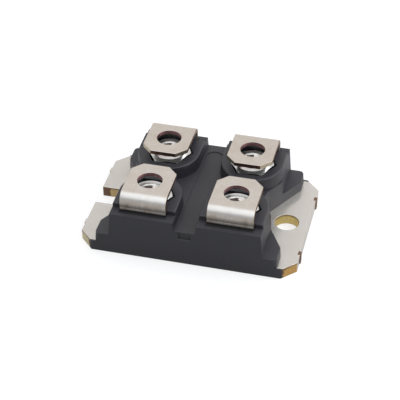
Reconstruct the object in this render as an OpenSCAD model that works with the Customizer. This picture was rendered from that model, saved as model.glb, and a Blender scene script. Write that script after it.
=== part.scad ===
// Power transistor module with four screw terminals, moulded onto a copper base plate.
// Origin: middle of the base plate's underside. X runs along the module, from the open
// slot (-X) to the round mounting hole (+X), Y across it, Z up. Millimetres.

/* [Base plate] */
// Thickness of the copper base plate
plate_t = 2; // [1.5:0.05:3]
// Distance between the centres of the mounting hole and the mounting slot
hole_pitch = 30.2; // [29:0.1:34]
// Diameter of the round mounting hole
hole_d = 4.2; // [3.2:0.1:4.8]
// Width of the open mounting slot
slot_w = 4.4; // [3.2:0.1:5]
// Metal from a mounting hole's centre to the end of the plate
end_margin = 3.8; // [3:0.1:6]
// Corner cut of the plate
corner_cut = 2.1; // [0.5:0.1:3.5]
// Depth of the step under each long edge, which locks the plate in the moulding
lock_w = 0.7; // [0.3:0.05:1.2]
// Height of that step
lock_h = 0.7; // [0.3:0.05:1.2]
// Distance between the two tie bar stubs on one end
stub_pitch = 15.2; // [12:0.1:18]
// Width of a tie bar stub
stub_w = 1; // [0.6:0.1:2.5]
// Length of a tie bar stub
stub_l = 0.2; // [0.1:0.05:0.6]

/* [Screw terminals] */
// Distance between the terminals along the module
pitch_x = 15; // [14.4:0.1:17]
// Distance between the terminals across the module
pitch_y = 12.7; // [11.8:0.1:15]
// Width of a terminal strip
tab_w = 8; // [6.5:0.1:9]
// Thickness of the terminal strip
tab_t = 0.8; // [0.5:0.05:1.2]
// Gap between the tips of two facing tabs
tab_gap = 3.9; // [2.5:0.1:5]
// Corner cut at a tab's tip
tab_cut = 1.75; // [0.5:0.05:2]
// Screw hole in a tab
tab_hole_d = 4.3; // [4.1:0.1:4.8]
// Room between the tower's top and the tab
tab_lift = 1.85; // [1.2:0.05:3]
// Inner radius of the bend between leg and tab
bend_r = 0.9; // [0.4:0.05:1.4]
// Width of the leg inside the moulding
neck_w = 4.5; // [3:0.1:6]
// Depth to which the leg keeps the full tab width inside the moulding
shoulder_depth = 0.8; // [0.4:0.1:1.5]
// Length of the foot that is joined to the substrate
foot_l = 2.8; // [2:0.1:3.2]
// Inner radius of the bend above the foot
foot_bend_r = 0.4; // [0.2:0.05:0.8]

/* [Hex nuts] */
// Width across the flats of a nut
nut_af = 7; // [6.6:0.1:7.6]
// Height of a nut
nut_h = 3.2; // [2.4:0.1:3.8]
// Thread's nominal diameter
thread_d = 4; // [3:0.1:4]
// Depth of the thread, from the nominal to the core radius
thread_depth = 0.35; // [0.2:0.05:0.5]
// Angle of the corner chamfers on both faces of a nut
nut_chamfer = 30; // [15:1:40]
// Diameter of the flat face inside those chamfers
nut_face_d = 6.4; // [5.6:0.1:6.6]
// Diameter of the countersinks at both ends of the thread
sink_d = 4.6; // [4.1:0.1:5]
// Room on each side of a nut in its pocket
nut_play = 0.25; // [0.05:0.01:0.3]
// How far the loose nuts are turned, as a share of what their room allows
nut_turned = 0.85; // [0:0.05:0.95]
// How far a nut stands above the tower
nut_proud = 0.3; // [0.1:0.05:0.8]
// Room for the screw's end below a nut
screw_room = 0.8; // [0.3:0.1:1.2]
// Screw's play in that room, on the diameter
screw_play = 0.6; // [0.2:0.1:1]

/* [Moulded body] */
// Wall between a nut pocket's flat side and the terminal leg
pocket_wall = 0.4; // [0.35:0.05:1]
// Wall between a nut pocket's corner and the tower's side
corner_wall = 1.13; // [1:0.01:1.6]
// Ledge outside the terminal leg
ledge_w = 1.35; // [1:0.05:2]
// Height of the corner lugs above the plate
lug_rise = 1.9; // [1.6:0.05:3]
// Length of the corner lugs beyond the upper body
lug_reach = 2.4; // [1.5:0.1:2.8]
// Rounding of the corner lugs in plan
lug_r = 0.8; // [0.3:0.1:1.5]
// Height of the channel floor above the plate
floor_rise = 4.85; // [4.4:0.05:6]
// Height of the nut towers above the channel floor
tower_rise = 2.35; // [2:0.05:3.5]
// Drop from the tower's top to the ledge
ledge_drop = 0.75; // [0.4:0.05:1.2]
// Rounding of the tower's rim
rim_r = 0.25; // [0.1:0.05:0.35]
// Draft of the moulded walls
draft = 4; // [1:0.5:6]
// Radius of the screw head recess at each end
notch_r = 4; // [3.4:0.1:4.6]
// Angle between the recess walls and the module's long axis
notch_angle = 60; // [45:1:75]
// Moulding over the long edges of the plate
plate_cover = 0.35; // [0.2:0.05:0.8]
// Relief of the moulding's underside above the plate's underside
seat_relief = 0.05; // [0.02:0.01:0.15]
// Depth of the bare panel in the channel floor
panel_depth = 0.15; // [0.05:0.05:0.4]
// Border between the panel and the channel's walls
panel_border = 0.3; // [0.1:0.05:0.8]
// Distance from the panel's round ends to the long faces
panel_end = 1.85; // [1.4:0.05:4]
// Width of the gate pocket in the front face
gate_w = 2.2; // [1.5:0.1:3]
// Height of the gate pocket
gate_h = 1.3; // [0.8:0.1:2]
// Depth of the gate pocket
gate_depth = 0.4; // [0.2:0.1:1.3]
// Moulding left above the gate pocket
gate_roof = 0.3; // [0.2:0.05:0.8]

/* [Substrate and chips] */
// Thickness of the solder under the substrate
base_solder_t = 0.1; // [0.05:0.01:0.2]
// Thickness of the copper on each side of the ceramic
copper_t = 0.3; // [0.2:0.05:0.5]
// Thickness of the ceramic
ceramic_t = 0.63; // [0.3:0.01:1]
// Moulding between the ceramic and the screw head recesses
end_cover = 0.7; // [0.4:0.05:1.5]
// Ceramic outside the terminal feet
foot_margin = 0.5; // [0.45:0.05:0.8]
// Bare ceramic round the copper
copper_inset = 0.4; // [0.2:0.05:0.8]
// Gap between two copper pads
pad_gap = 0.8; // [0.5:0.05:1.2]
// Copper beside a chip or a foot
pad_border = 0.6; // [0.3:0.05:1]
// Side of the transistor chip
igbt_side = 9; // [7:0.1:9.8]
// Side of the diode chip
diode_side = 6; // [4:0.1:7]
// Gap between the chips
chip_gap = 2.2; // [1.2:0.1:3]
// Thickness of the chips
chip_t = 0.25; // [0.1:0.01:0.4]
// Thickness of the solder under the chips
chip_solder_t = 0.08; // [0.04:0.01:0.15]
// Solder that shows round a chip
chip_solder_rim = 0.15; // [0.05:0.05:0.3]
// Diameter of the bond wires
wire_d = 0.35; // [0.2:0.05:0.5]
// Height of the bond wires' arches
wire_rise = 0.8; // [0.5:0.05:1]
// Distance between neighbouring bond wires
wire_pitch = 1.2; // [0.8:0.05:1.4]
// Distance from a bond to the edge of what it lands on
bond_inset = 1; // [0.6:0.05:1.2]
// Bond wires on the transistor
emitter_wires_n = 6; // [2:1:7]
// Bond wires on the diode
diode_wires_n = 4; // [2:1:4]

/* [Hidden] */

$fn = 96;
slack = 1;    // how far a cutter stands out of what it cuts
hex_sides = 6;

copper = "#b9825f";
nickel = "#c9c5be";
epoxy = "#3c3b40";
alumina = "#eeebe2";
silicon = "#5b6070";
aluminium = "#d6d8da";
solder = "#a5a8aa";

// Places along and across the module
hole_x = hole_pitch / 2;
plate_x = hole_x + end_margin;
tower_x = pitch_x / 2;
tower_y = pitch_y / 2;
pocket_af = nut_af + 2 * nut_play;
nut_corner_r = nut_af / 2 / cos(180 / hex_sides);
nut_turn = nut_turned * (180 / hex_sides - acos(min(1, pocket_af / 2 / nut_corner_r)));
pocket_corner_r = pocket_af / 2 / cos(180 / hex_sides);
tower_r = pocket_corner_r + corner_wall;
leg_in = tower_y + pocket_af / 2 + pocket_wall;
leg_out = leg_in + tab_t;
body_y = leg_out + ledge_w;
plate_y = body_y - plate_cover;
cut_x = plate_x - corner_cut;
cut_y = plate_y - corner_cut;

// Heights
floor_z = plate_t + floor_rise;
tower_z = floor_z + tower_rise;
ledge_z = tower_z - ledge_drop;
lug_z = plate_t + lug_rise;
tab_z = tower_z + tab_lift;
nut_z = tower_z + nut_proud - nut_h;
back_copper_z = plate_t + base_solder_t;
ceramic_z = back_copper_z + copper_t;
pad_z = ceramic_z + ceramic_t;
pad_top = pad_z + copper_t;
chip_z = pad_top + chip_solder_t;
chip_top = chip_z + chip_t;
shoulder_z = ledge_z - shoulder_depth;

// Substrate layout
ceramic_x = hole_x - notch_r - end_cover;
ceramic_y = leg_out + foot_margin;
pad_x = ceramic_x - copper_inset;
pad_y = ceramic_y - copper_inset;
chip_row = igbt_side + chip_gap + diode_side;
igbt_x = (igbt_side - chip_row) / 2;
diode_x = (chip_row - diode_side) / 2;
collector_y = igbt_side / 2 + pad_border;
outer_pad_y = collector_y + pad_gap;
arm_x = tower_x - neck_w / 2 - pad_border;

// Half length of the upper body at a height, with the walls' draft
function upper_x(z) = tower_x + tower_r + (tower_z - z) * tan(draft);
// Half length of the corner lugs at a height
function lug_x(z) = upper_x(lug_z) + lug_reach + (lug_z - z) * tan(draft);

module at_terminals() {
    for (x = [-tower_x, tower_x], y = [-tower_y, tower_y])
        translate([x, y, 0]) children();
}

// A box from one corner to the opposite one
module block(low, high) {
    translate(low) cube(high - low);
}

// A flat layer on the middle of the module
module layer(half_x, half_y, z, t) {
    block([-half_x, -half_y, z], [half_x, half_y, z + t]);
}

// A shape drawn in the XZ plane, run along Y
module along_y(y0, y1) {
    translate([0, y1, 0]) rotate([90, 0, 0]) linear_extrude(y1 - y0) children();
}

// A shape drawn in the YZ plane, run along X on both sides of the middle
module along_x(width) {
    rotate([90, 0, 90]) linear_extrude(width, center = true) children();
}

// Base plate: punched copper, nickel plated on its flat sides

module plate_outline() {
    difference() {
        union() {
            polygon([
                [plate_x, -cut_y], [plate_x, cut_y], [cut_x, plate_y], [-cut_x, plate_y],
                [-plate_x, cut_y], [-plate_x, -cut_y], [-cut_x, -plate_y], [cut_x, -plate_y]
            ]);
            for (y = [-stub_pitch / 2, stub_pitch / 2])
                translate([0, y]) square([2 * (plate_x + stub_l), stub_w], center = true);
        }
        translate([hole_x, 0]) circle(d = hole_d);
        translate([-hole_x, 0]) circle(d = slot_w);
        translate([-hole_x - end_margin - slack, -slot_w / 2]) square([end_margin + slack, slot_w]);
    }
}

module plate_solid() {
    difference() {
        linear_extrude(plate_t) plate_outline();
        for (s = [-1, 1])
            along_y(s > 0 ? plate_y - lock_w : -plate_y - slack, s > 0 ? plate_y + slack : lock_w - plate_y)
                polygon([
                    [-lug_x(0), -slack], [lug_x(0), -slack],
                    [lug_x(0), 0], [lug_x(lock_h), lock_h], [-lug_x(lock_h), lock_h], [-lug_x(0), 0]
                ]);
    }
}

// Substrate: ceramic with bonded copper, soldered to the plate

module collector_area() {
    square([2 * pad_x, 2 * collector_y], center = true);
    translate([arm_x, 0]) square([pad_x - arm_x, pad_y]);
}

module emitter_area() {
    translate([-pad_x, outer_pad_y]) square([pad_x + arm_x - pad_gap, pad_y - outer_pad_y]);
}

module gate_area() {
    translate([-pad_x, -pad_y]) square([pad_x + igbt_x - pad_gap / 2, pad_y - outer_pad_y]);
}

module sense_area() {
    translate([igbt_x + pad_gap / 2, -pad_y]) square([pad_x - igbt_x - pad_gap / 2, pad_y - outer_pad_y]);
}

module pad() {
    translate([0, 0, pad_z]) linear_extrude(copper_t) children();
}

module chip(x, side) {
    block([x - side / 2, -side / 2, chip_z], [x + side / 2, side / 2, chip_top]);
}

module chip_solder(x, side) {
    half = side / 2 + chip_solder_rim;
    block([x - half, -half, pad_top], [x + half, half, chip_z]);
}

// Bond wires: a round wire bent to an arc of a circle, cut off level at both bonds

module arch(span, z) {
    arc_r = (pow(span / 2, 2) + pow(wire_rise, 2)) / 2 / wire_rise;
    reach = arc_r + wire_d;
    intersection() {
        translate([0, 0, z + wire_rise - arc_r]) rotate([90, 0, 0])
            rotate_extrude() translate([arc_r, 0]) circle(d = wire_d);
        block([-reach, -wire_d, z], [reach, wire_d, z + wire_rise + wire_d]);
    }
}

// From the transistor to a pad on the side given by the sign
module chip_to_pad(x, sign) {
    start = igbt_side / 2 - bond_inset;
    end = outer_pad_y + bond_inset;
    difference() {
        translate([x, sign * (start + end) / 2, 0]) rotate([0, 0, 90]) arch(end - start, pad_top);
        chip_solder(igbt_x, igbt_side);
        chip(igbt_x, igbt_side);
    }
}

module emitter_wire_set() {
    for (i = [0 : emitter_wires_n - 1])
        chip_to_pad(igbt_x + (i - (emitter_wires_n - 1) / 2) * wire_pitch, 1);
}

module diode_wire_set() {
    start = igbt_x + igbt_side / 2 - bond_inset;
    end = diode_x - diode_side / 2 + bond_inset;
    for (i = [0 : diode_wires_n - 1])
        translate([(start + end) / 2, (i - diode_wires_n / 2) * wire_pitch, 0]) arch(end - start, chip_top);
}

module gate_wire_solid() {
    chip_to_pad(igbt_x - igbt_side / 2 + bond_inset, -1);
}

module sense_wire_solid() {
    chip_to_pad(igbt_x + igbt_side / 2 - bond_inset, -1);
}

// Screw terminals: one copper strip, folded over its nut, with a narrower leg and a foot inside

module quarter_ring(inner_r, thickness) {
    intersection() {
        difference() {
            circle(r = inner_r + thickness);
            circle(r = inner_r);
        }
        square(inner_r + thickness);
    }
}

module terminal_solid(sx, sy) {
    tip_y = tab_gap / 2;
    bend_z = tab_z - bend_r;
    foot_bend_z = pad_top + tab_t + foot_bend_r;
    translate([sx * tower_x, 0, 0]) mirror([0, sy < 0 ? 1 : 0, 0]) {
        translate([0, 0, tab_z]) linear_extrude(tab_t) difference() {
            polygon([
                [-tab_w / 2, leg_in - bend_r], [-tab_w / 2, tip_y + tab_cut], [tab_cut - tab_w / 2, tip_y],
                [tab_w / 2 - tab_cut, tip_y], [tab_w / 2, tip_y + tab_cut], [tab_w / 2, leg_in - bend_r]
            ]);
            translate([0, tower_y]) circle(d = tab_hole_d);
        }
        along_x(tab_w) {
            translate([leg_in - bend_r, bend_z]) quarter_ring(bend_r, tab_t);
            translate([leg_in, shoulder_z]) square([tab_t, bend_z - shoulder_z]);
        }
        along_x(neck_w) {
            translate([leg_in, foot_bend_z]) square([tab_t, shoulder_z - foot_bend_z]);
            translate([leg_in - foot_bend_r, foot_bend_z]) mirror([0, 1]) quarter_ring(foot_bend_r, tab_t);
            translate([leg_out - foot_l, pad_top]) square([foot_l - foot_bend_r - tab_t, tab_t]);
        }
    }
}

// Moulded body: black epoxy, moulded round everything that lies on the plate

// Half section of a tower: drafted side and round rim
module tower_section() {
    rim_x = tower_r - rim_r * (1 - sin(draft)) / cos(draft);
    rim_z = tower_z - rim_r;
    polygon([
        [0, floor_z], [upper_x(floor_z) - tower_x, floor_z],
        [rim_x + rim_r * cos(draft), rim_z + rim_r * sin(draft)], [rim_x, tower_z], [0, tower_z]
    ]);
    translate([rim_x, rim_z]) circle(r = rim_r);
}

module tower(sy) {
    inner = min(0, sy * (leg_in - tower_y));
    outer = min(0, sy * (body_y - tower_y));
    rotate([0, 0, sy > 0 ? 180 : 0]) rotate_extrude(angle = 180) tower_section();
    along_y(inner, inner + leg_in - tower_y)
        for (side = [0, 1]) mirror([side, 0]) tower_section();
    along_y(outer, outer + body_y - tower_y)
        wall_section(floor_z, upper_x(floor_z) - tower_x, ledge_z, upper_x(ledge_z) - tower_x);
}

module wall_section(z0, x0, z1, x1) {
    polygon([[-x0, z0], [x0, z0], [x1, z1], [-x1, z1]]);
}

// Takes the vertical corners off the lugs, leaning with their drafted ends
module lug_corners() {
    for (sx = [-1, 1], sy = [-1, 1])
        mirror([sx < 0 ? 1 : 0, 0, 0]) mirror([0, sy < 0 ? 1 : 0, 0])
            translate([lug_x(0), body_y, 0]) rotate([0, -draft, 0]) translate([-lug_r, -lug_r, -slack])
                linear_extrude(lug_z + 2 * slack) difference() {
                    square(lug_r + slack);
                    circle(r = lug_r);
                }
}

// The lower body, which ends in a lug at each corner
module lugs() {
    difference() {
        along_y(-body_y, body_y)
            wall_section(seat_relief, lug_x(seat_relief), lug_z, lug_x(lug_z));
        lug_corners();
    }
}

// Moulding along the plate's long edges, as high as the plate, ending in line with its corner cuts
module edge_skirt() {
    end_x = cut_x - plate_cover;
    root_y = plate_y - lock_w;
    for (side = [0, 1]) mirror([0, side, 0])
        translate([0, 0, seat_relief]) linear_extrude(plate_t - seat_relief)
            polygon([
                [-cut_x, root_y], [cut_x, root_y], [cut_x, plate_y],
                [end_x, body_y], [-end_x, body_y], [-cut_x, plate_y]
            ]);
}

// Screw head recess: a round end that opens towards the module's end
module end_notch() {
    far_x = plate_x + slack;
    near = [hole_x - notch_r * sin(notch_angle), notch_r * cos(notch_angle)];
    far_y = near[1] + (far_x - near[0]) * tan(notch_angle);
    linear_extrude(tower_z + slack) {
        translate([hole_x, 0]) circle(r = notch_r);
        polygon([near, [far_x, far_y], [far_x, -far_y], [near[0], -near[1]]]);
    }
}

module nut_pocket() {
    translate([0, 0, nut_z]) cylinder(r = pocket_corner_r, h = tower_z - nut_z + slack, $fn = hex_sides);
    translate([0, 0, nut_z - screw_room]) cylinder(d = thread_d + screw_play, h = screw_room + slack);
}

// Bare panel with round ends in the floor of the middle channel
module floor_panel() {
    panel_r = tower_x - (upper_x(floor_z) - tower_x) - panel_border;
    end_y = body_y - panel_end - panel_r;
    translate([0, 0, floor_z - panel_depth]) linear_extrude(tower_rise) {
        for (y = [-end_y, end_y]) translate([0, y]) circle(r = panel_r);
        square([2 * panel_r, 2 * end_y], center = true);
    }
}

module gate_pocket() {
    top = floor_z - gate_roof;
    block([-gate_w / 2, -body_y - slack, top - gate_h], [gate_w / 2, gate_depth - body_y, top]);
}

module body_form() {
    difference() {
        union() {
            lugs();
            edge_skirt();
            along_y(-body_y, body_y)
                wall_section(lug_z, upper_x(lug_z), floor_z, upper_x(floor_z));
            for (x = [-tower_x, tower_x], sy = [-1, 1])
                translate([x, sy * tower_y, 0]) tower(sy);
        }
        for (side = [0, 1]) mirror([side, 0, 0]) end_notch();
        at_terminals() nut_pocket();
        floor_panel();
        gate_pocket();
    }
}

module embedded() {
    plate_solid();
    layer(pad_x, pad_y, plate_t, base_solder_t);
    layer(pad_x, pad_y, back_copper_z, copper_t);
    layer(ceramic_x, ceramic_y, ceramic_z, ceramic_t);
    pad() {
        collector_area();
        emitter_area();
        gate_area();
        sense_area();
    }
    chip_solder(igbt_x, igbt_side);
    chip(igbt_x, igbt_side);
    chip_solder(diode_x, diode_side);
    chip(diode_x, diode_side);
    emitter_wire_set();
    diode_wire_set();
    gate_wire_solid();
    sense_wire_solid();
    for (sx = [-1, 1], sy = [-1, 1]) terminal_solid(sx, sy);
}

// Hex nut: corners chamfered on both faces, bored at the thread's core, countersunk
module nut() {
    face_r = nut_face_d / 2;
    fall = (nut_corner_r - face_r) * tan(nut_chamfer);
    core_r = thread_d / 2 - thread_depth;
    difference() {
        intersection() {
            cylinder(r = nut_corner_r, h = nut_h, $fn = hex_sides);
            rotate_extrude() polygon([
                [0, 0], [face_r, 0], [nut_corner_r, fall],
                [nut_corner_r, nut_h - fall], [face_r, nut_h], [0, nut_h]
            ]);
        }
        translate([0, 0, -slack]) cylinder(r = core_r, h = nut_h + 2 * slack);
        cylinder(r1 = sink_d / 2, r2 = core_r, h = thread_depth);
        translate([0, 0, nut_h - thread_depth]) cylinder(r1 = core_r, r2 = sink_d / 2, h = thread_depth);
    }
}

// The pieces

module base_plate() {
    color(copper) plate_solid();
}

module base_solder() {
    color(solder) layer(pad_x, pad_y, plate_t, base_solder_t);
}

module back_copper() {
    color(copper) layer(pad_x, pad_y, back_copper_z, copper_t);
}

module ceramic() {
    color(alumina) layer(ceramic_x, ceramic_y, ceramic_z, ceramic_t);
}

module collector_pad() {
    color(copper) pad() collector_area();
}

module emitter_pad() {
    color(copper) pad() emitter_area();
}

module gate_pad() {
    color(copper) pad() gate_area();
}

module sense_pad() {
    color(copper) pad() sense_area();
}

module igbt_solder() {
    color(solder) chip_solder(igbt_x, igbt_side);
}

module igbt_chip() {
    color(silicon) chip(igbt_x, igbt_side);
}

module diode_solder() {
    color(solder) chip_solder(diode_x, diode_side);
}

module diode_chip() {
    color(silicon) chip(diode_x, diode_side);
}

module emitter_wires() {
    color(aluminium) emitter_wire_set();
}

module diode_wires() {
    color(aluminium) diode_wire_set();
}

module gate_wire() {
    color(aluminium) gate_wire_solid();
}

module sense_wire() {
    color(aluminium) sense_wire_solid();
}

module collector_terminal() {
    color(nickel) terminal_solid(1, 1);
}

module emitter_terminal() {
    color(nickel) terminal_solid(-1, 1);
}

module gate_terminal() {
    color(nickel) terminal_solid(-1, -1);
}

module sense_terminal() {
    color(nickel) terminal_solid(1, -1);
}

module moulded_body() {
    color(epoxy) difference() {
        body_form();
        embedded();
    }
}

module terminal_nuts() {
    color(nickel) at_terminals() translate([0, 0, nut_z]) rotate(nut_turn) nut();
}

base_plate();
base_solder();
back_copper();
ceramic();
collector_pad();
emitter_pad();
gate_pad();
sense_pad();
igbt_solder();
igbt_chip();
diode_solder();
diode_chip();
emitter_wires();
diode_wires();
gate_wire();
sense_wire();
collector_terminal();
emitter_terminal();
gate_terminal();
sense_terminal();
moulded_body();
terminal_nuts();
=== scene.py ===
# Power transistor module with four screw terminals: looks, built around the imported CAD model.
import math

import bmesh
import bpy
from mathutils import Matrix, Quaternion, Vector


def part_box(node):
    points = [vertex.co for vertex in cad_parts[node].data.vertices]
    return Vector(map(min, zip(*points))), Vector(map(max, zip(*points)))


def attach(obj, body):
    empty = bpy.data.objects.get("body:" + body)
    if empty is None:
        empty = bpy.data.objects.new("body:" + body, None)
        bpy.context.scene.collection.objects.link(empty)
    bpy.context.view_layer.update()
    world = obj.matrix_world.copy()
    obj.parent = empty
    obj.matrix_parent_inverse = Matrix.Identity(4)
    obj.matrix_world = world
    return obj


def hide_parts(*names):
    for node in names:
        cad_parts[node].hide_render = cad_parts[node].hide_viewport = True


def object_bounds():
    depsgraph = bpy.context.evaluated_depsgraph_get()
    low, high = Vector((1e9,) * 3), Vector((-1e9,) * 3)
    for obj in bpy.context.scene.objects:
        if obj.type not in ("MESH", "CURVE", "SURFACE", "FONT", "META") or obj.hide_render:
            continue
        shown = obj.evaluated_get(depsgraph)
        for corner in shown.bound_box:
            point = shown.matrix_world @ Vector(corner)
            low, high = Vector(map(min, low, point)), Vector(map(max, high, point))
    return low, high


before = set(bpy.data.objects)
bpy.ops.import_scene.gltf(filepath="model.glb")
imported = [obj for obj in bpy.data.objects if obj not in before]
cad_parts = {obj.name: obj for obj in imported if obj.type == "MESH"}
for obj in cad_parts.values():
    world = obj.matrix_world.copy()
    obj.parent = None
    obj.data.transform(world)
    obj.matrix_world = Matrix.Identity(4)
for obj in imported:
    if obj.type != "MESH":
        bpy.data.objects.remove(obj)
cad_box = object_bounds()
mm = 0.001

# Camera: looks down on the module from its front, a little from the right.
# The angles, distance and lens are those at which the module's edges fall where the photograph has them.
view_azimuth = math.radians(13.98)
view_elevation = math.radians(38.09)
view_roll = math.radians(-0.28)
view_distance = 241.6 * mm
view_target = Vector((0, 0, 5 * mm))
image_px = 400
focal_px = 1386.6
middle_px = (202.19, 196.07)
sensor_mm = 36

towards_camera = Vector((
    math.sin(view_azimuth) * math.cos(view_elevation),
    -math.cos(view_azimuth) * math.cos(view_elevation),
    math.sin(view_elevation),
))
bpy.ops.object.camera_add(location=view_target + towards_camera * view_distance)
camera = bpy.context.object
camera.rotation_mode = "QUATERNION"
camera.rotation_quaternion = (-towards_camera).to_track_quat("-Z", "Y") @ Quaternion((0, 0, 1), view_roll)
camera.data.sensor_width = sensor_mm
camera.data.lens = sensor_mm * focal_px / image_px
camera.data.shift_x = 0.5 - middle_px[0] / image_px
camera.data.shift_y = middle_px[1] / image_px - 0.5
bpy.context.scene.camera = camera
bpy.context.scene.view_settings.view_transform = "Standard"

# Studio: a white sheet under the module and soft white light all round it, dimmer behind the camera.
# One large soft box hangs in front of the module and above it, a smaller one stands at its right.
floor_size = 8
floor_gap = 0.01 * mm
sheet_colour = (0.38, 0.38, 0.38, 1)
sheet_glow = 0.64
mirrored_glow_front, mirrored_glow_back = 0.12, 0.46
mirrored_glow_from, mirrored_glow_to = -15 * mm, 25 * mm
light_white = (1, 1, 1, 1)
front_light, back_light = 0.50, 0.95
dimmest_depth, brightest_depth = -0.9, 0.6
soft_box_distance = 0.6
soft_box_white = (0.92, 0.96, 1.0)
soft_boxes = [
    {"way": Vector((0, -0.45, 0.9)), "size": (1.0, 0.75), "watts": 2.0},
    {"way": Vector((0.77, 0.2, 0.6)), "size": (0.5, 0.4), "watts": 1.8},
]


def add_node(tree, kind, inputs=None, **settings):
    """A node with its settings; each input takes a value or the output that feeds it."""
    node = tree.nodes.new(kind)
    for name, value in settings.items():
        setattr(node, name, value)
    for socket, value in (inputs or {}).items():
        if isinstance(value, bpy.types.NodeSocket):
            tree.links.new(value, node.inputs[socket])
        else:
            node.inputs[socket].default_value = value
    return node


def math_node(tree, operation, *values):
    """The output of a Math node."""
    return add_node(tree, "ShaderNodeMath", dict(enumerate(values)), operation=operation).outputs[0]


def map_range(tree, value, low, high, to_low=0.0, to_high=1.0, interpolation="LINEAR"):
    """The output of a Map Range node."""
    return add_node(tree, "ShaderNodeMapRange", {
        "Value": value, "From Min": low, "From Max": high, "To Min": to_low, "To Max": to_high,
    }, interpolation_type=interpolation).outputs[0]


def new_material(name):
    """An empty node material: its tree, its output node and itself."""
    material = bpy.data.materials.new(name)
    material.use_nodes = True
    material.node_tree.nodes.clear()
    return material.node_tree, add_node(material.node_tree, "ShaderNodeOutputMaterial"), material


# The sheet glows to look white. In reflections it is brighter behind the module than in front of it
bpy.ops.mesh.primitive_plane_add(size=floor_size, location=(0, 0, cad_box[0].z - floor_gap))
floor = bpy.context.object
floor.name = "floor"
tree, output, sheet_material = new_material("white sheet")
rays = add_node(tree, "ShaderNodeLightPath").outputs
seen = math_node(tree, "MAXIMUM", rays["Is Camera Ray"], rays["Is Transmission Ray"])
spot = add_node(tree, "ShaderNodeNewGeometry").outputs["Position"]
depth = add_node(tree, "ShaderNodeSeparateXYZ", {0: spot}).outputs["Y"]
mirrored_glow = map_range(
    tree, depth, mirrored_glow_from, mirrored_glow_to, mirrored_glow_front, mirrored_glow_back)
seen_glow = math_node(tree, "MULTIPLY", seen, sheet_glow)
glow_strength = math_node(tree, "MULTIPLY_ADD", rays["Is Glossy Ray"], mirrored_glow, seen_glow)
paper = add_node(tree, "ShaderNodeBsdfDiffuse", {"Color": sheet_colour})
glow = add_node(tree, "ShaderNodeEmission", {"Color": light_white, "Strength": glow_strength})
sheet = add_node(tree, "ShaderNodeAddShader", {0: paper.outputs[0], 1: glow.outputs[0]})
tree.links.new(sheet.outputs[0], output.inputs["Surface"])
floor.data.materials.append(sheet_material)

world = bpy.data.worlds.new("white room")
bpy.context.scene.world = world
world.use_nodes = True
tree = world.node_tree
tree.nodes.clear()
direction = add_node(tree, "ShaderNodeTexCoord").outputs["Generated"]
depth = add_node(tree, "ShaderNodeSeparateXYZ", {0: direction}).outputs["Y"]
room_light = map_range(tree, depth, dimmest_depth, brightest_depth, front_light, back_light, "SMOOTHSTEP")
on_camera = add_node(tree, "ShaderNodeLightPath").outputs["Is Camera Ray"]
room_strength = math_node(tree, "MAXIMUM", room_light, on_camera)
room = add_node(tree, "ShaderNodeBackground", {"Color": light_white, "Strength": room_strength})
tree.links.new(room.outputs[0], add_node(tree, "ShaderNodeOutputWorld").inputs["Surface"])

for soft_box in soft_boxes:
    bpy.ops.object.light_add(type="AREA", location=soft_box["way"].normalized() * soft_box_distance)
    lamp = bpy.context.object
    lamp.rotation_mode = "QUATERNION"
    lamp.rotation_quaternion = (-soft_box["way"]).to_track_quat("-Z", "Y")
    lamp.data.shape = "RECTANGLE"
    lamp.data.size, lamp.data.size_y = soft_box["size"]
    lamp.data.energy = soft_box["watts"]
    lamp.data.color = soft_box_white

# Base plate: punched from nickel plated copper strip, in which tie bars held it until it was cut off.
# Its flat sides and its ends are plated. Corner cuts, hole, slot and tie bar stubs are bare copper,
# burnished by the punch and with tears in places; far out on the corner cuts the brown is a painted dark
# reflection.
plate_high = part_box("base_plate")[1]
plate_edge_r = 0.12 * mm
edge_steps = 3
merge_gap = 0.002 * mm
flat_angle = math.radians(0.2)
sharp_angle = math.radians(40)
bump_depth = 0.02 * mm


def choose(piece):
    """Makes a piece the only selected object."""
    bpy.ops.object.select_all(action="DESELECT")
    piece.select_set(True)
    bpy.context.view_layer.objects.active = piece


def work_on(piece):
    """Opens the mesh of a piece, with nothing else selected."""
    choose(piece)
    bpy.ops.object.mode_set(mode="EDIT")


def pick(piece, kind, test):
    """In the open mesh, selects only the vertices, edges or faces whose middle and self pass a test."""
    bpy.ops.mesh.select_mode(type=kind)
    bpy.ops.mesh.select_all(action="DESELECT")
    mesh = bmesh.from_edit_mesh(piece.data)
    for part in {"VERT": mesh.verts, "EDGE": mesh.edges, "FACE": mesh.faces}[kind]:
        corners = [part] if kind == "VERT" else part.verts
        middle = sum((corner.co for corner in corners), Vector()) / len(corners)
        if test(middle, part):
            part.select_set(True)
    bmesh.update_edit_mesh(piece.data)


def merge_points(piece):
    """Merges the points of a piece that fall together."""
    work_on(piece)
    bpy.ops.mesh.select_all(action="SELECT")
    bpy.ops.mesh.remove_doubles(threshold=merge_gap)
    bpy.ops.object.mode_set(mode="OBJECT")


def fair_copy(node, name):
    """A copy of a CAD node as a piece of its own, its loose triangles merged to whole faces."""
    piece = bpy.data.objects.new(name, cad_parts[node].data.copy())
    bpy.context.collection.objects.link(piece)
    piece.data.materials.clear()
    work_on(piece)
    bpy.ops.mesh.customdata_custom_splitnormals_clear()
    bpy.ops.mesh.select_all(action="SELECT")
    bpy.ops.mesh.remove_doubles(threshold=merge_gap)
    bpy.ops.mesh.dissolve_degenerate(threshold=merge_gap)
    bpy.ops.mesh.select_all(action="SELECT")
    bpy.ops.mesh.dissolve_limited(angle_limit=flat_angle)
    bpy.ops.object.mode_set(mode="OBJECT")
    return piece


def apply_modifier(piece, kind, **settings):
    """Adds a modifier to a piece and applies it."""
    modifier = piece.modifiers.new(kind.title(), kind)
    for name, value in settings.items():
        setattr(modifier, name, value)
    choose(piece)
    bpy.ops.object.modifier_apply(modifier=modifier.name)


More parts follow.
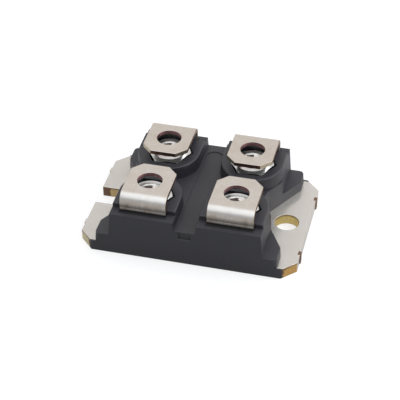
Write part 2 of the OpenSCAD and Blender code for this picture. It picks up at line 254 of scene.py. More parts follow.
def finish_shading(piece, crisp_angle):
    """Smooth shading up to an angle, in which the large faces stay flat."""
    merge_points(piece)
    bpy.ops.object.shade_smooth_by_angle(angle=crisp_angle)
    apply_modifier(piece, "WEIGHTED_NORMAL", weight=100, keep_sharp=True)


base = fair_copy("base_plate", "plated_base")
apply_modifier(base, "BEVEL", width=plate_edge_r, segments=edge_steps, limit_method="ANGLE",
               angle_limit=sharp_angle, loop_slide=False)
finish_shading(base, sharp_angle)


def absolute(tree, value):
    """A value without its sign."""
    return math_node(tree, "ABSOLUTE", value)


def apart(tree, value, place):
    """How far a value lies from a place, on either side of it."""
    return absolute(tree, math_node(tree, "SUBTRACT", value, place))


def weighted(tree, value, weight, start):
    """A start value with another value added to it by weight."""
    return math_node(tree, "MULTIPLY_ADD", value, weight, start)


def product(tree, first, *others):
    """The product of several masks."""
    for other in others:
        first = math_node(tree, "MULTIPLY", first, other)
    return first


def either(tree, first, *others):
    """The largest of several masks."""
    for other in others:
        first = math_node(tree, "MAXIMUM", first, other)
    return first


def mix_colour(tree, share, first, second):
    """The output of a node that mixes two colours."""
    return add_node(tree, "ShaderNodeMix", {0: share, 6: first, 7: second}, data_type="RGBA").outputs[2]


def mix_value(tree, share, first, second):
    """The output of a node that mixes two values."""
    return add_node(tree, "ShaderNodeMix", {0: share, 2: first, 3: second}, data_type="FLOAT").outputs[0]


def noise(tree, place, scale, detail=3.0, roughness=0.55):
    """The value of a noise texture at a place."""
    return add_node(tree, "ShaderNodeTexNoise", {
        "Vector": place, "Scale": scale, "Detail": detail, "Roughness": roughness,
    }).outputs[0]


def drawn_out_noise(tree, place, squeeze, scale, turn=0.0, **settings):
    """Noise that is drawn out along the axes whose squeeze is under 1, turned about Z."""
    mapped = add_node(tree, "ShaderNodeMapping", {
        "Vector": place, "Rotation": (0, 0, turn), "Scale": squeeze,
    }).outputs[0]
    return noise(tree, mapped, scale, **settings)


def object_place(tree):
    """Object coordinates, whole and split into X, Y and Z."""
    place = add_node(tree, "ShaderNodeTexCoord").outputs["Object"]
    return place, add_node(tree, "ShaderNodeSeparateXYZ", {0: place}).outputs


def surface_facing(tree):
    """X, Y and Z of the direction in which a spot faces."""
    normal = add_node(tree, "ShaderNodeNewGeometry").outputs["Normal"]
    return add_node(tree, "ShaderNodeSeparateXYZ", {0: normal}).outputs


def bumped(tree, height, strength):
    """The normal that a fine relief gives."""
    return add_node(tree, "ShaderNodeBump", {
        "Height": height, "Strength": strength, "Distance": bump_depth,
    }).outputs[0]


def cover(tree, output, inputs):
    """Makes a Principled BSDF with these inputs the surface of a material."""
    surface = add_node(tree, "ShaderNodeBsdfPrincipled", inputs)
    tree.links.new(surface.outputs[0], output.inputs["Surface"])


def new_group(name, inputs, outputs):
    """A shader node group with named value inputs, each with its usual value, and value outputs."""
    group = bpy.data.node_groups.new(name, "ShaderNodeTree")
    for title, usual in inputs.items():
        socket = group.interface.new_socket(name=title, in_out="INPUT", socket_type="NodeSocketFloat")
        socket.default_value = usual
    for title in outputs:
        group.interface.new_socket(name=title, in_out="OUTPUT", socket_type="NodeSocketFloat")
    return group, add_node(group, "NodeGroupInput").outputs, add_node(group, "NodeGroupOutput").inputs


def place_group(tree, group, **values):
    """A group's outputs in a material, with its own values for the inputs."""
    titles = {name.replace("_", " ").capitalize(): value for name, value in values.items()}
    return add_node(tree, "ShaderNodeGroup", titles, node_tree=group).outputs


# Rolled metal: clouds of tone, finer mottling, fine grain, and thin scratches in two directions
noise_span = (0.3, 0.7)
noise_middle = 0.5
mottling_fineness = 6.0
scratch_span = (0.62, 0.70)
scratch_runs = ((0.5, 0.03), (-1.1, 0.05))
rolled_metal, given, result = new_group(
    "rolled metal", {"Cloud scale": 260.0, "Grain scale": 14000.0, "Scratch scale": 900.0},
    ("Clouds", "Grain", "Scratches", "Mottling"))
place = add_node(rolled_metal, "ShaderNodeTexCoord").outputs["Object"]
clouds = noise(rolled_metal, place, given["Cloud scale"], detail=4.0)
rolled_metal.links.new(map_range(rolled_metal, clouds, *noise_span), result["Clouds"])
rolled_metal.links.new(noise(rolled_metal, place, given["Grain scale"], detail=2.0), result["Grain"])
mottling_scale = math_node(rolled_metal, "MULTIPLY", given["Cloud scale"], mottling_fineness)
mottling = noise(rolled_metal, place, mottling_scale)
rolled_metal.links.new(map_range(rolled_metal, mottling, *noise_span), result["Mottling"])
scratches = []
for scratch_turn, scratch_squeeze in scratch_runs:
    lines = drawn_out_noise(rolled_metal, place, (scratch_squeeze, 1, 1), given["Scratch scale"],
                            turn=scratch_turn, detail=6.0, roughness=0.75)
    scratches.append(map_range(rolled_metal, lines, *scratch_span))
rolled_metal.links.new(either(rolled_metal, *scratches), result["Scratches"])

nickel_plate_colour = (0.685, 0.66, 0.62, 1)
nickel_plate_warm = (0.645, 0.60, 0.565, 1)
gold_copper = (0.74, 0.46, 0.165, 1)
olive_copper = (0.88, 0.71, 0.31, 1)
pale_copper = (0.82, 0.73, 0.50, 1)
dull_copper = (0.66, 0.50, 0.25, 1)
torn_and_reflection_brown = (0.20, 0.125, 0.085, 1)
cloud_share, mottling_share = 0.6, 0.4
stub_l = 0.2 * mm
stub_y = 7.6 * mm
plate_top = plate_high.z
plate_end = plate_high.x - stub_l
tree, output, plate_material = new_material("nickel plated copper plate")
place, where = object_place(tree)
normal = surface_facing(tree)
along = absolute(tree, where["X"])
across = absolute(tree, where["Y"])
metal = place_group(tree, rolled_metal, cloud_scale=380.0)
warm_share = weighted(tree, metal["Clouds"], cloud_share, product(tree, metal["Mottling"], mottling_share))
plating = mix_colour(tree, warm_share, nickel_plate_colour, nickel_plate_warm)

# Where copper is bare: on upright walls other than the ends, with smears of plating that the punch left
flat_facing, wall_facing = 0.75, 0.55
smear_scale = 1500.0
smear_span = (0.25, 0.4)
smeared_share = 0.75
end_reach = 0.08 * mm
end_facing = (0.85, 0.95)
upright = map_range(tree, absolute(tree, normal["Z"]), flat_facing, wall_facing)
smear = noise(tree, place, smear_scale, detail=4.0)
bare = product(tree, upright, map_range(tree, smear, *smear_span, smeared_share, 1.0))
at_end = map_range(tree, apart(tree, along, plate_end), end_reach, end_reach / 2)
end_wall = product(tree, at_end, map_range(tree, absolute(tree, normal["X"]), *end_facing))
bare = product(tree, bare, math_node(tree, "SUBTRACT", 1.0, end_wall))

# Where it is brown: tears under the top edge, at the slot's mouth and at the stubs, and a painted dark
# reflection far out on the corner cuts
wobble_w = 1.6 * mm
tear_depth = 0.38 * mm
tear_fade = 0.2 * mm
top_wobble, stub_wobble = 0.35, 0.3
top_tear_share = 0.75
slot_torn_x = -17.35 * mm
corner_reflection_y = 12.0 * mm
inner_y, inner_fade = 2.8 * mm, 0.2 * mm
stub_fade = 0.03 * mm
stub_tear_half, stub_tear_l, stub_tear_fade = 0.45 * mm, 0.4 * mm, 0.1 * mm
wobble = product(tree, math_node(tree, "SUBTRACT", smear, noise_middle), wobble_w)
near_top = map_range(tree, weighted(tree, wobble, top_wobble, where["Z"]),
                     plate_top - tear_depth, plate_top - tear_depth / 2)
inward = map_range(tree, across, inner_y + inner_fade, inner_y)
at_mouth = map_range(tree, math_node(tree, "ADD", where["X"], wobble), slot_torn_x, slot_torn_x - tear_fade)
at_mouth = product(tree, at_mouth, inward)
# Painted dark reflection far out on the corner cuts, next to the moulding
corner_dark_reflection = map_range(tree, math_node(tree, "ADD", across, wobble),
                      corner_reflection_y, corner_reflection_y + tear_fade)
on_stub = map_range(tree, along, plate_end, plate_end + stub_fade)
stub_tear = map_range(tree, weighted(tree, wobble, stub_wobble, where["X"]),
                      plate_end - stub_tear_l, plate_end - stub_tear_l + stub_tear_fade)
beside_stub = map_range(tree, apart(tree, across, stub_y), stub_tear_half + stub_tear_fade, stub_tear_half)
stub_tear = product(tree, stub_tear, beside_stub)
bare = either(tree, bare, stub_tear)
torn_and_dark_reflection = either(tree, at_mouth, corner_dark_reflection, on_stub, stub_tear, product(tree, near_top, top_tear_share))

# Bare walls: gold on the corner cuts and olive in the hole, paler or duller at the slot's end, all streaky
slot_end_from, slot_end_to = -9 * mm, -10 * mm
streak_squeeze = 0.06
streak_scale = 5000.0
streak_span = (0.40, 0.80)
streak_share = 0.35
streaks = drawn_out_noise(tree, place, (1, 1, streak_squeeze), streak_scale)
slot_end = map_range(tree, where["X"], slot_end_from, slot_end_to)
corner_copper = mix_colour(tree, slot_end, gold_copper, pale_copper)
inner_copper = mix_colour(tree, slot_end, olive_copper, dull_copper)
copper = mix_colour(tree, inward, corner_copper, inner_copper)
copper = mix_colour(tree, map_range(tree, streaks, *streak_span, 0.0, streak_share), copper, torn_and_reflection_brown)
copper = mix_colour(tree, torn_and_dark_reflection, copper, torn_and_reflection_brown)

# The plating is matt, with burnished high spots too small to see one by one
burnished_rough, matt_rough = 0.20, 0.75
burnished_span = (0.47, 0.53)
scratch_rough = 0.08
copper_rough = 0.42
metal_bump = 0.10
scratch_relief, streak_relief = -0.6, 3.0


def metal_relief(tree, metal, streaks, bare):
    """The height of grain and scratches, and of the punch's streaks where copper is bare."""
    relief = weighted(tree, metal["Scratches"], scratch_relief, metal["Grain"])
    return weighted(tree, product(tree, streaks, bare), streak_relief, relief)


rough_plating = map_range(tree, metal["Grain"], *burnished_span, burnished_rough, matt_rough)
rough_plating = weighted(tree, metal["Scratches"], scratch_rough, rough_plating)
cover(tree, output, {
    "Base Color": mix_colour(tree, bare, plating, copper), "Metallic": 1.0,
    "Roughness": mix_value(tree, bare, rough_plating, copper_rough),
    "Normal": bumped(tree, metal_relief(tree, metal, streaks, bare), metal_bump),
})
base.data.materials.append(plate_material)
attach(base, "root")
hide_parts("base_plate")

# Inside the moulding: a ceramic substrate with copper on both sides, soldered to the base plate.
# A transistor and a diode chip are soldered onto it and joined by aluminium wires. None of it shows.
sealed_bump = 0.1
sealed_rough_spread = 0.1


def sealed_material(name, light, dark, metallic, roughness, scale):
    """A plain finish for sealed pieces: two tones in fine clouds, with a fine relief."""
    tree, output, material = new_material(name)
    place = add_node(tree, "ShaderNodeTexCoord").outputs["Object"]
    tone = noise(tree, place, scale, detail=4.0)
    cover(tree, output, {
        "Base Color": mix_colour(tree, map_range(tree, tone, *noise_span), light, dark),
        "Metallic": metallic,
        "Roughness": map_range(tree, tone, *noise_span, roughness, roughness + sealed_rough_spread),
        "Normal": bumped(tree, tone, sealed_bump),
    })
    return material


sealed_copper = sealed_material(
    "bonded copper", light=(0.72, 0.43, 0.30, 1), dark=(0.60, 0.33, 0.22, 1),
    metallic=1.0, roughness=0.35, scale=2500.0)
sealed_ceramic = sealed_material(
    "alumina", light=(0.86, 0.85, 0.81, 1), dark=(0.78, 0.77, 0.74, 1),
    metallic=0.0, roughness=0.55, scale=4000.0)
sealed_solder = sealed_material(
    "soft solder", light=(0.62, 0.63, 0.64, 1), dark=(0.45, 0.46, 0.47, 1),
    metallic=1.0, roughness=0.40, scale=3000.0)
sealed_silicon = sealed_material(
    "chip", light=(0.34, 0.36, 0.42, 1), dark=(0.27, 0.29, 0.35, 1),
    metallic=0.6, roughness=0.18, scale=1500.0)
sealed_wire = sealed_material(
    "aluminium wire", light=(0.84, 0.85, 0.86, 1), dark=(0.74, 0.75, 0.76, 1),
    metallic=1.0, roughness=0.30, scale=6000.0)
sealed_finish = {
    "base_solder": sealed_solder, "back_copper": sealed_copper, "ceramic": sealed_ceramic,
    "collector_pad": sealed_copper, "emitter_pad": sealed_copper, "gate_pad": sealed_copper,
    "sense_pad": sealed_copper, "igbt_solder": sealed_solder, "igbt_chip": sealed_silicon,
    "diode_solder": sealed_solder, "diode_chip": sealed_silicon, "emitter_wires": sealed_wire,
    "diode_wires": sealed_wire, "gate_wire": sealed_wire, "sense_wire": sealed_wire,
}
for node, material in sealed_finish.items():
    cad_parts[node].material_slots[0].material = material

# Screw terminals: strips punched from nickel plated copper, moulded in and folded over the nuts.
# Each has a screw hole and cut corners at its tip. Folding creases the leg; the bend has a cooler painted
# highlight tint, and a band of painted shade, dark and not metallic, runs along the leg's foot.
terminal_low, terminal_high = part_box("collector_terminal")
strip_t = 0.8 * mm
strip_x = (terminal_low.x + terminal_high.x) / 2
strip_w = terminal_high.x - terminal_low.x
leg_y = terminal_high.y
tip_y = terminal_low.y
tab_top = terminal_high.z
foot_z = terminal_low.z
bend_r = 1.7 * mm
bend_z = tab_top - bend_r
bend_steps = 14
tip_cut = 1.75 * mm
neck_w = 4.5 * mm
shoulder_z = 7.65 * mm
foot_bend_r = 1.2 * mm
foot_bend_z = foot_z + foot_bend_r
foot_bend_steps = 8
foot_l = 2.8 * mm
# Top of the painted shade at the leg's foot
foot_shade_z = 8.8 * mm
crease_z = 9.2 * mm
crease_depth = 0.06 * mm
crease_fade = 0.7 * mm
screw_hole_y = 6.35 * mm
screw_hole_r = 2.15 * mm
hole_sides = 72
strip_edge_r = 0.09 * mm
hole_rim_r = 0.06 * mm
rim_steps = 3
tiny = 0.01 * mm


def extrude_by(x, y, z):
    """Extrudes what is selected by a vector."""
    bpy.ops.mesh.extrude_region_move(TRANSFORM_OT_translate={"value": (x, y, z)})


def turned_solid(axis, profile, sides):
    """A solid on an upright axis: a disc drawn up through a profile of heights and radii."""
    height, radius = profile[0]
    bpy.ops.object.select_all(action="DESELECT")
    bpy.ops.mesh.primitive_circle_add(
        vertices=sides, radius=radius, fill_type="NGON", location=(*axis, height))
    piece = bpy.context.object
    work_on(piece)
    bpy.ops.mesh.select_all(action="SELECT")
    for next_height, next_radius in profile[1:]:
        extrude_by(0, 0, next_height - height)
        bpy.ops.transform.resize(value=(next_radius / radius, next_radius / radius, 1))
        height, radius = next_height, next_radius
    bpy.ops.mesh.select_all(action="SELECT")
    bpy.ops.mesh.normals_make_consistent()
    bpy.ops.object.mode_set(mode="OBJECT")
    return piece


def on_line(y, z):
    """A test for what lies on a line along X, at this Y and Z."""
    return lambda middle, part: abs(middle.y - y) < tiny and abs(middle.z - z) < tiny


# The outer face of the leg, bent over to the tab above and to the foot below, then given its thickness
bpy.ops.object.select_all(action="DESELECT")
bpy.ops.mesh.primitive_plane_add(size=1, location=(strip_x, leg_y, (shoulder_z + bend_z) / 2),
                                 rotation=(-math.pi / 2, 0, 0))
strip = bpy.context.object
strip.scale = (strip_w, bend_z - shoulder_z, 1)
bpy.ops.object.transform_apply()
work_on(strip)
for line_z in (foot_shade_z, crease_z, crease_z + crease_fade):
    bpy.ops.mesh.select_all(action="SELECT")
    bpy.ops.mesh.bisect(plane_co=(0, 0, line_z), plane_no=(0, 0, 1))
for side in (-1, 1):
    bpy.ops.mesh.select_all(action="SELECT")
    bpy.ops.mesh.bisect(plane_co=(strip_x + side * neck_w / 2, 0, 0), plane_no=(1, 0, 0))
pick(strip, "EDGE", lambda middle, edge: middle.z > bend_z - tiny)
bpy.ops.mesh.spin(steps=bend_steps, angle=math.pi / 2, axis=(-1, 0, 0),
                  center=(strip_x, leg_y - bend_r, bend_z))
extrude_by(0, tip_y + tip_cut - leg_y + bend_r, 0)
extrude_by(0, -tip_cut, 0)
bpy.ops.transform.resize(value=(1 - 2 * tip_cut / strip_w, 1, 1), center_override=(strip_x, tip_y, tab_top))
pick(strip, "EDGE", lambda middle, edge: middle.z < shoulder_z + tiny and abs(middle.x - strip_x) < tiny)
extrude_by(0, 0, foot_bend_z - shoulder_z)
bpy.ops.mesh.spin(steps=foot_bend_steps, angle=math.pi / 2, axis=(1, 0, 0),
                  center=(strip_x, leg_y - foot_bend_r, foot_bend_z))
extrude_by(0, foot_bend_r - foot_l, 0)
bpy.ops.object.mode_set(mode="OBJECT")
apply_modifier(strip, "SOLIDIFY", thickness=strip_t, offset=-1, use_even_offset=True)

# The punch for the screw hole, with a shoulder that rounds the hole's upper rim
rim_turns = [math.pi / 2 * step / rim_steps for step in range(rim_steps + 1)]
rim = [(tab_top - hole_rim_r * (1 - math.sin(turn)), screw_hole_r + hole_rim_r * (1 - math.cos(turn)))
       for turn in rim_turns]
punch_profile = [
    (tab_top - 2 * strip_t, screw_hole_r), *rim, (tab_top + strip_t, screw_hole_r + hole_rim_r),
]
punch = turned_solid((strip_x, screw_hole_y), punch_profile, hole_sides)
apply_modifier(strip, "BOOLEAN", object=punch, operation="DIFFERENCE", solver="EXACT")
bpy.data.objects.remove(punch)

# The rim and the tab's face give points that fall together, and these would hold back the edges' rounding
merge_points(strip)
work_on(strip)
pick(strip, "VERT", on_line(leg_y, crease_z))
bpy.ops.transform.translate(value=(0, -crease_depth, 0))
bpy.ops.object.mode_set(mode="OBJECT")
apply_modifier(strip, "BEVEL", width=strip_edge_r, segments=edge_steps, limit_method="ANGLE",
               angle_limit=sharp_angle)
work_on(strip)
pick(strip, "EDGE", on_line(leg_y - crease_depth, crease_z))
bpy.ops.mesh.mark_sharp()
bpy.ops.object.mode_set(mode="OBJECT")
finish_shading(strip, sharp_angle)

nickel_strip_colour = (0.67, 0.63, 0.585, 1)
nickel_strip_warm = (0.57, 0.50, 0.435, 1)
strip_inside_shade_colour = (0.60, 0.60, 0.60, 1)
strip_tarnish = (0.40, 0.33, 0.26, 1)
bend_highlight_colour = (0.665, 0.65, 0.63, 1)
foot_shade_colour = (0.016, 0.0155, 0.019, 1)
cut_corner_colour = (0.60, 0.53, 0.40, 1)
cut_copper_colour = (0.26, 0.14, 0.10, 1)
cut_copper_dark = (0.09, 0.05, 0.04, 1)
hole_copper_colour = (0.47, 0.265, 0.27, 1)
hole_copper_dark = (0.24, 0.13, 0.14, 1)


def folded_place(tree, place):
    """A place folded into the quarter of one terminal, so that one mask serves all four."""
    return add_node(tree, "ShaderNodeVectorMath", {0: place}, operation="ABSOLUTE").outputs[0]


def distance(tree, place, point):
    """How far a place lies from a point."""
    between = add_node(tree, "ShaderNodeVectorMath", {0: place, 1: point}, operation="DISTANCE")
    return between.outputs["Value"]


# Where copper is bare: on the punched sides, less so near the tip, on the tip's end and in the hole
side_facing = (0.35, 0.6)
straight_facing, slanted_facing = 0.95, 0.85
plated_side_y, bare_side_y = 5.5 * mm, 8 * mm
plated_side_share = 0.25
level_facing, end_cut_facing = 0.5, 0.3
tree, output, strip_material = new_material("nickel plated copper strip")
place, where = object_place(tree)
normal = surface_facing(tree)
metal = place_group(tree, rolled_metal, cloud_scale=420.0, scratch_scale=1300.0)
sideways = absolute(tree, normal["X"])
reach = absolute(tree, where["Y"])
side_cut = map_range(tree, sideways, *side_facing)
cut_corner = product(tree, side_cut, map_range(tree, sideways, straight_facing, slanted_facing))
side_share = map_range(tree, reach, plated_side_y, bare_side_y, plated_side_share, 1.0)
side_cut = either(tree, product(tree, side_cut, side_share), cut_corner)
end_cut = map_range(tree, absolute(tree, normal["Z"]), level_facing, end_cut_facing)
on_tab = map_range(tree, reach, leg_y - bend_r - tiny, leg_y - bend_r - 2 * tiny)
bare = either(tree, side_cut, product(tree, end_cut, on_tab))
hole_middle = (strip_x, screw_hole_y, tab_top - strip_t / 2)
in_hole = map_range(tree, distance(tree, folded_place(tree, place), hole_middle),
                    screw_hole_r + strip_t / 2, screw_hole_r + strip_t / 4)

# Plating: warmer towards the rear, with lines from rolling, a cooler painted highlight tint on the bend,
# tarnished low on the leg
rolling_squeeze = 0.04
rolling_scale = 2600.0
rolling_share = 0.15
strip_cloud_share, strip_mottling_share = 0.5, 0.4
front_y, rear_y = -5 * mm, 5 * mm
front_share, rear_share = -0.05, 0.2
bend_span = (0.2, 0.45)
stain_squeeze = 0.4
stain_scale = 900.0
stain_span = (0.45, 0.72)
stain_top, stain_full = 0.9 * mm, 1.9 * mm
stain_top_share = 0.15
rolling = drawn_out_noise(tree, place, (1, rolling_squeeze, rolling_squeeze), rolling_scale, detail=4.0)
rolling = map_range(tree, rolling, *noise_span, 0.0, rolling_share)
warm_share = weighted(tree, metal["Clouds"], strip_cloud_share, rolling)
warm_share = weighted(tree, metal["Mottling"], strip_mottling_share, warm_share)
to_rear = map_range(tree, where["Y"], front_y, rear_y, front_share, rear_share)
warm_share = math_node(tree, "ADD", warm_share, to_rear)
plating = mix_colour(tree, warm_share, nickel_strip_colour, nickel_strip_warm)
# Painted highlight: a cooler tint where the bend faces half up and half forward or back
bend_highlight_mask = product(tree, normal["Z"], absolute(tree, normal["Y"]))
plating = mix_colour(tree, map_range(tree, bend_highlight_mask, *bend_span), plating, bend_highlight_colour)
stains = drawn_out_noise(tree, place, (1, 1, stain_squeeze), stain_scale, detail=6.0, roughness=0.65)
stains = map_range(tree, stains, *stain_span)
low_down = map_range(tree, where["Z"], tab_top - stain_top, tab_top - stain_full, stain_top_share, 1.0)
plating = mix_colour(tree, product(tree, stains, low_down), plating, strip_tarnish)

# The inner side of the leg and the underside of the tab are an even grey, darker than the plating: painted
# shade
inner_from, inner_full = -4 * mm, -8 * mm
under_from, under_full = -0.3, -0.6
inside_shade = map_range(tree, product(tree, normal["Y"], where["Y"]), inner_from, inner_full)
inside_shade = either(tree, inside_shade, map_range(tree, normal["Z"], under_from, under_full))
plating = mix_colour(tree, inside_shade, plating, strip_inside_shade_colour)

# Punched copper: brown with fine streaks, paler on the cut corners and redder in the hole
cut_streak_squeeze = 0.1
cut_streak_scale = 6000.0
cut_streak_span = (0.35, 0.75)
cut_corner_share = 0.8
streaks = drawn_out_noise(tree, place, (1, 1, cut_streak_squeeze), cut_streak_scale)
dark_share = map_range(tree, streaks, *cut_streak_span)
copper = mix_colour(tree, dark_share, cut_copper_colour, cut_copper_dark)
copper = mix_colour(tree, product(tree, cut_corner, cut_corner_share), copper, cut_corner_colour)
hole_copper = mix_colour(tree, dark_share, hole_copper_colour, hole_copper_dark)
copper = mix_colour(tree, in_hole, copper, hole_copper)

# The painted shade at the leg's foot, dark and not metallic, ends in a ragged line
foot_shade_wobble = 0.2 * mm
foot_shade_fade = 0.03 * mm
strip_rough = 0.34
cloud_rough = 0.08
ragged = product(tree, math_node(tree, "SUBTRACT", streaks, noise_middle), foot_shade_wobble)
foot_shade = map_range(tree, math_node(tree, "ADD", where["Z"], ragged),
                  foot_shade_z + foot_shade_fade, foot_shade_z - foot_shade_fade)
rough_plating = weighted(tree, metal["Clouds"], cloud_rough, strip_rough)
rough_plating = weighted(tree, metal["Scratches"], scratch_rough, rough_plating)
cover(tree, output, {
    "Base Color": mix_colour(tree, foot_shade, mix_colour(tree, bare, plating, copper), foot_shade_colour),
    "Metallic": math_node(tree, "SUBTRACT", 1.0, foot_shade),
    "Roughness": mix_value(tree, bare, rough_plating, copper_rough),
    "Normal": bumped(tree, metal_relief(tree, metal, streaks, bare), metal_bump),
})
strip.data.materials.append(strip_material)


def fitted_copy(model, name, shift, turn=0.0):
    """A copy of a model piece with its own mesh, turned about Z and moved to its place."""
    piece = model.copy()
    piece.data = model.data.copy()
    piece.name = name
    bpy.context.collection.objects.link(piece)
    piece.rotation_euler = (0, 0, turn)
    piece.location = shift
    choose(piece)
    bpy.ops.object.transform_apply()
    return piece


strip_places = {
    "collector_terminal": (0, 0), "emitter_terminal": (0, -2 * strip_x),
    "gate_terminal": (math.pi, 0), "sense_terminal": (math.pi, 2 * strip_x),
}
for node, (turn, shift) in strip_places.items():
    terminal = fitted_copy(strip, node.replace("terminal", "strip"), (shift, 0, 0), turn)
    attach(terminal, "root")
    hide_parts(node)
bpy.data.objects.remove(strip)

# Moulded body: black epoxy moulded over the plate, the substrate and the terminal legs.
# It holds the nuts in hexagonal pockets; the mould leaves a fine matt grain and slightly rounded edges.
body_low, body_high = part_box("moulded_body")
body_edge_r = 0.10 * mm
body_edge_steps = 2
upper_x = 12.9 * mm
floor_z = 6.85 * mm
panel_z = 6.7 * mm
ledge_z = 8.45 * mm
recess_half = 4.6 * mm
pocket_reach = 4.4 * mm
looks_down = -0.5
terminal_middle = Vector((strip_x, screw_hole_y))
body_cuts = [(0, (0, 1, 0)), (0, (1, 0, 0)), (strip_x, (1, 0, 0)), (-strip_x, (1, 0, 0))]


def edge_shows(middle, edge):
    """True for a sharp outer edge of the moulding that has room for its rounding beside it."""
    if not edge.is_convex or edge.calc_face_angle() < sharp_angle:
        return False
    across, along = abs(middle.y), abs(middle.x)
    from_nut = (Vector((along, across)) - terminal_middle).length
    if abs(along - strip_x) < strip_w / 2 + tiny and leg_y - strip_t - tiny < across < leg_y + tiny:
        return False
    if from_nut < pocket_reach and middle.z < body_high.z - tiny:
        return False
    beside_tower = along > upper_x and across > recess_half and abs(middle.z - floor_z) < tiny
    if beside_tower or abs(middle.z - plate_top) < tiny:
        return False
    on_long_face = across > body_high.y - tiny
    on_end = along > upper_x - tiny and middle.z > plate_top
    return on_long_face or on_end or middle.z > panel_z - tiny


# Cuts divide the large faces into simple ones; those that look down, as over the chips, stay whole
body = fair_copy("moulded_body", "epoxy_body")
work_on(body)
for cut_x, cut_normal in body_cuts:
    pick(body, "FACE", lambda middle, face: face.normal.z > looks_down)
    bpy.ops.mesh.bisect(plane_co=(cut_x, 0, 0), plane_no=cut_normal)
pick(body, "EDGE", edge_shows)
bpy.ops.mesh.bevel(offset=body_edge_r, segments=body_edge_steps, affect="EDGES",
                   clamp_overlap=False, profile=0.5)
bpy.ops.object.mode_set(mode="OBJECT")
finish_shading(body, sharp_angle)

epoxy_colour = (0.0178, 0.0173, 0.0235, 1)
epoxy_pale = (0.0228, 0.0221, 0.0295, 1)
epoxy_broken = (0.045, 0.046, 0.049, 1)
epoxy_shaded = (0.004, 0.004, 0.005, 1)
epoxy_ior = 1.58
epoxy_rough = (0.50, 0.56)
epoxy_bump = 0.16
grain_scale = 9000.0
flow_scale = 350.0
tree, output, epoxy_material = new_material("black epoxy")
place, where = object_place(tree)
grain = noise(tree, place, grain_scale, roughness=0.6)
flow = noise(tree, place, flow_scale, detail=4.0)
epoxy = mix_colour(tree, map_range(tree, flow, *noise_span), epoxy_colour, epoxy_pale)
rough = map_range(tree, flow, *noise_span, *epoxy_rough)

# The broken gate: paler and rough, in its pocket in the front face
gate_half = 1.15 * mm
gate_low, gate_high = 5.1 * mm, 6.4 * mm
gate_back = body_low.y + 0.4 * mm
gate_rough = 0.2
in_gate = product(
    tree, map_range(tree, absolute(tree, where["X"]), gate_half, gate_half - tiny),
    map_range(tree, where["Y"], gate_back + tiny, gate_back - tiny),
    map_range(tree, where["Z"], gate_low - tiny, gate_low + tiny),
    map_range(tree, where["Z"], gate_high + tiny, gate_high - tiny))

# The ledges are duller than the rest, with a painted shadow line along the foot of each leg
foot_gap = 0.75 * mm
foot_side = 0.3 * mm
ledge_rough, foot_rough = 0.16, 0.45
from_leg = math_node(tree, "SUBTRACT", absolute(tree, where["Y"]), leg_y)
from_strip = apart(tree, absolute(tree, where["X"]), strip_x)
at_ledge_height = map_range(tree, apart(tree, where["Z"], ledge_z), 4 * tiny, 2 * tiny)
on_ledge = product(tree, map_range(tree, from_leg, -strip_t - tiny, -strip_t + tiny), at_ledge_height)
shade_at_foot = product(
    tree, map_range(tree, from_leg, foot_gap, foot_gap / 2),
    map_range(tree, from_strip, strip_w / 2 + foot_side, strip_w / 2), at_ledge_height)
epoxy = mix_colour(tree, in_gate, epoxy, epoxy_broken)
epoxy = mix_colour(tree, shade_at_foot, epoxy, epoxy_shaded)
rough = weighted(tree, on_ledge, ledge_rough, rough)
rough = weighted(tree, shade_at_foot, foot_rough, rough)
rough = weighted(tree, in_gate, gate_rough, rough)
cover(tree, output, {
    "Base Color": epoxy, "Roughness": rough, "IOR": epoxy_ior, "Normal": bumped(tree, grain, epoxy_bump),
})
body.data.materials.append(epoxy_material)
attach(body, "root")
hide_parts("moulded_body")

# Hex nuts: four plated steel nuts, loose in the pockets under the tabs, a little under nominal height.
# Turned chamfers take the corners off both faces.
# The tapped bore is rougher than the outside and a little brown, and painted paler to lift the shade inside
# it.
nuts_low, nuts_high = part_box("terminal_nuts")
nut_flats = 7 * mm
nut_sides = 6
nut_face_r = 3.08 * mm
nut_shortfall = 0.1 * mm
nut_turn = math.radians(6.9)
nut_crisp_angle = math.radians(20)
chamfer_angle = math.radians(30)
nut_top = nuts_high.z - nut_shortfall
nut_h = nut_top - nuts_low.z
nut_corner_r = nut_flats / 2 / math.cos(math.pi / nut_sides)
nut_spot = (strip_x, screw_hole_y, (nuts_low.z + nut_top) / 2)
blank_spare = 0.15 * mm
blank_sides = 96
thread_r = 2 * mm
core_r = 1.65 * mm
sink_r = 2.3 * mm
sink_depth = 0.35 * mm
cone_spare = 0.1 * mm
drill_sides = 64

bpy.ops.object.select_all(action="DESELECT")
bpy.ops.mesh.primitive_cylinder_add(vertices=nut_sides, radius=nut_corner_r, depth=nut_h, location=nut_spot,
                                    rotation=(0, 0, math.pi / 2 + nut_turn))
nut = bpy.context.object
bpy.ops.object.transform_apply()

# The turned blank that gives the nut its chamfers
blank_r = nut_corner_r + blank_spare
chamfer_fall = (blank_r - nut_face_r) * math.tan(chamfer_angle)
blank_profile = [
    (nuts_low.z, nut_face_r), (nuts_low.z + chamfer_fall, blank_r),
    (nut_top - chamfer_fall, blank_r), (nut_top, nut_face_r),
]
blank = turned_solid(nut_spot[:2], blank_profile, blank_sides)
apply_modifier(nut, "BOOLEAN", object=blank, operation="INTERSECT", solver="EXACT")
bpy.data.objects.remove(blank)

# The drill, with the cones that countersink both ends of the bore
sink_slope = (sink_r - core_r) / sink_depth
cone_r = sink_r + sink_slope * cone_spare
cone_depth = (sink_r - thread_r) / sink_slope
drill_profile = [
    (nuts_low.z - cone_spare, cone_r), (nuts_low.z + cone_depth, thread_r),
    (nut_top - cone_depth, thread_r), (nut_top + cone_spare, cone_r),
]
drill = turned_solid(nut_spot[:2], drill_profile, drill_sides)
apply_modifier(nut, "BOOLEAN", object=drill, operation="DIFFERENCE", solver="EXACT")
bpy.data.objects.remove(drill)

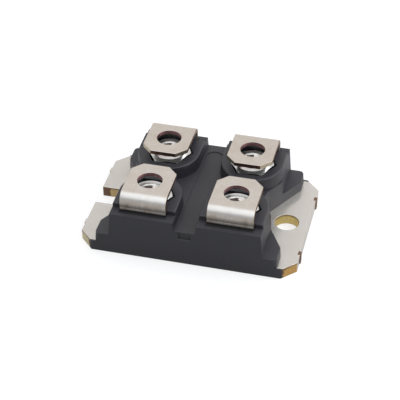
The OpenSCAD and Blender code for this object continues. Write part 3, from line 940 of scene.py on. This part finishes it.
# The thread: one ridge of trapezoid section, wound up the bore
thread_pitch = 0.7 * mm
thread_sink = 0.03 * mm
thread_start = math.radians(51)
ridge_base = 0.6 * mm
ridge_crest = 0.17 * mm
ridge_entry = 0.16 * mm
ridge_steps = 140
ridge_turns = (nut_h - ridge_base - 2 * ridge_entry) / thread_pitch
ridge_rise = ridge_turns * thread_pitch
ridge_out = thread_r + thread_sink
bpy.ops.object.select_all(action="DESELECT")
bpy.ops.mesh.primitive_plane_add(size=1, location=((ridge_out + core_r) / 2, 0, 0),
                                 rotation=(math.pi / 2, 0, 0))
ridge = bpy.context.object
ridge.scale = (ridge_out - core_r, ridge_base, 1)
bpy.ops.object.transform_apply()
work_on(ridge)
pick(ridge, "VERT", lambda middle, vertex: middle.x < core_r + tiny)
bpy.ops.transform.resize(value=(1, 1, ridge_crest / ridge_base))
bpy.ops.mesh.select_all(action="SELECT")
bpy.ops.mesh.delete(type="ONLY_FACE")
bpy.ops.object.mode_set(mode="OBJECT")
apply_modifier(ridge, "SCREW", axis="Z", angle=2 * math.pi * ridge_turns, screw_offset=ridge_rise,
               iterations=1, steps=ridge_steps, render_steps=ridge_steps, use_merge_vertices=False)
work_on(ridge)
bpy.ops.mesh.select_all(action="SELECT")
bpy.ops.mesh.fill_holes(sides=4)
bpy.ops.mesh.normals_make_consistent()
bpy.ops.object.mode_set(mode="OBJECT")
ridge.rotation_euler = (0, 0, thread_start)
bpy.ops.object.transform_apply()
work_on(ridge)
bpy.ops.mesh.select_all(action="SELECT")
bpy.ops.transform.translate(value=(nut_spot[0], nut_spot[1], nut_spot[2] - ridge_rise / 2))
bpy.ops.object.mode_set(mode="OBJECT")
apply_modifier(nut, "BOOLEAN", object=ridge, operation="UNION", solver="EXACT")
bpy.data.objects.remove(ridge)
finish_shading(nut, nut_crisp_angle)

nut_colour = (0.70, 0.69, 0.67, 1)
nut_dull = (0.58, 0.57, 0.55, 1)
# Paler than the outside: painted light that lifts the shade in the bore
bore_colour = (0.80, 0.74, 0.70, 1)
nut_rough, nut_cloud_rough, bore_rough = 0.16, 0.10, 0.25
nut_bump = 0.08
tree, output, nut_material = new_material("plated steel")
metal = place_group(tree, rolled_metal, cloud_scale=700.0, scratch_scale=2000.0)
place = add_node(tree, "ShaderNodeTexCoord").outputs["Object"]
flat_place = add_node(tree, "ShaderNodeVectorMath", {
    0: folded_place(tree, place), 1: (1, 1, 0),
}, operation="MULTIPLY").outputs[0]
from_axis = distance(tree, flat_place, (strip_x, screw_hole_y, 0))
in_bore = map_range(tree, from_axis, thread_r + 2 * tiny, thread_r + tiny)
rough = weighted(tree, metal["Clouds"], nut_cloud_rough, nut_rough)
rough = weighted(tree, metal["Scratches"], scratch_rough, rough)
rough = weighted(tree, in_bore, bore_rough, rough)
steel = mix_colour(tree, metal["Clouds"], nut_colour, nut_dull)
steel = mix_colour(tree, in_bore, steel, bore_colour)
cover(tree, output, {
    "Base Color": steel, "Metallic": 1.0, "Roughness": rough,
    "Normal": bumped(tree, metal["Grain"], nut_bump),
})
nut.data.materials.append(nut_material)

nut_shifts = {
    "collector_nut": (0, 0, 0), "emitter_nut": (-2 * strip_x, 0, 0),
    "gate_nut": (-2 * strip_x, -2 * screw_hole_y, 0), "sense_nut": (0, -2 * screw_hole_y, 0),
}
for name, shift in nut_shifts.items():
    fitted = fitted_copy(nut, name, shift)
    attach(fitted, "root")
    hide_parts("terminal_nuts")
bpy.data.objects.remove(nut)
